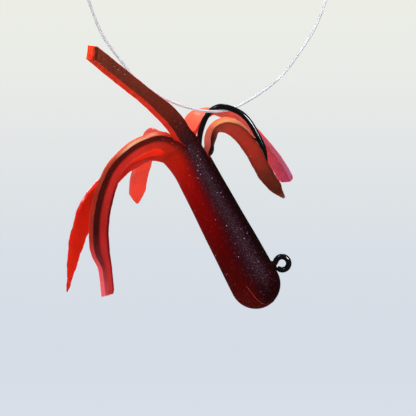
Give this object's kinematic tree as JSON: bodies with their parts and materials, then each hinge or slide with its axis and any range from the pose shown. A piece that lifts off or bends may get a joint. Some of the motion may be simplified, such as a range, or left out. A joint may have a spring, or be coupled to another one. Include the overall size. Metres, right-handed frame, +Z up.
{
  "type": "soft plastic tube bait",
  "caption": "Hollow soft plastic tube bait with a slit, flexing skirt of tentacles, rigged on a hidden lead jig head with an upturned hook and hung by its bend on clear line.",
  "frame": {"origin": "lowest point of the underside of the hook's crown, where the line that holds the lure bears", "axes": "+Z up as the lure hangs, +X towards the side that the hook's eye and point are on, +Y away from the side that the near-black back mostly shows on"},
  "size_m": [0.0354, 0.0396, 0.0436],
  "materials": {
    "soft_plastic_body": "glossy translucent red plastisol with a near-black glittered back",
    "soft_plastic_red": "glossy translucent red plastisol",
    "soft_plastic_dark": "glossy translucent red plastisol with a dark skin",
    "lead": "cast lead, stands in as a heavy metal",
    "black_nickel": "polished black nickel",
    "monofilament": "clear nylon monofilament"
  },
  "bodies": {
    "lure": {"tube_body": "soft_plastic_body", "jig_head": "lead", "jig_hook": "black_nickel", "fishing_line": "monofilament", "line_knot_left": "monofilament", "line_knot_right": "monofilament"},
    "tentacle_front": {"tentacle_front": "soft_plastic_dark"},
    "tentacle_left_front": {"tentacle_left_front": "soft_plastic_red"},
    "tentacle_left": {"tentacle_left": "soft_plastic_red"},
    "tentacle_left_rear": {"tentacle_left_rear": "soft_plastic_red"},
    "tentacle_right_rear": {"tentacle_right_rear": "soft_plastic_red"},
    "tentacle_right": {"tentacle_right": "soft_plastic_dark"}
  },
  "joints": [
    {"name": "flex_front", "type": "hinge", "parent": "lure", "child": "tentacle_front", "pos_m": [-0.00413, -0.00031, -0.00396], "axis": [0.7313, 0.5592, 0.3905], "range_deg": [-12, 35], "stiffness_Nm_per_rad": 0.00004, "springref_deg": -2.06},
    {"name": "flex_left_front", "type": "hinge", "parent": "lure", "child": "tentacle_left_front", "pos_m": [-0.00601, -0.00045, -0.00496], "axis": [0.7929, -0.4384, 0.4233], "range_deg": [-15, 35], "stiffness_Nm_per_rad": 0.00004, "springref_deg": -4.93},
    {"name": "flex_left", "type": "hinge", "parent": "lure", "child": "tentacle_left", "pos_m": [-0.00706, 0.00131, -0.00553], "axis": [0.0615, -0.9976, 0.0329], "range_deg": [-25, 25], "stiffness_Nm_per_rad": 0.00004, "springref_deg": -5.38},
    {"name": "flex_left_rear", "type": "hinge", "parent": "lure", "child": "tentacle_left_rear", "pos_m": [-0.00623, 0.00323, -0.00509], "axis": [-0.7313, -0.5592, -0.3905], "range_deg": [-30, 35], "stiffness_Nm_per_rad": 0.00004, "springref_deg": -5.8},
    {"name": "flex_right_rear", "type": "hinge", "parent": "lure", "child": "tentacle_right_rear", "pos_m": [-0.00436, 0.00337, -0.00408], "axis": [-0.7929, 0.4384, -0.4233], "range_deg": [-30, 8], "stiffness_Nm_per_rad": 0.00004, "springref_deg": -8.54},
    {"name": "flex_right", "type": "hinge", "parent": "lure", "child": "tentacle_right", "pos_m": [-0.00163, 0.00162, -0.00644], "axis": [-0.0615, 0.9976, -0.0329], "range_deg": [-3, 35], "stiffness_Nm_per_rad": 0.00004, "springref_deg": -3.82}
  ]
}
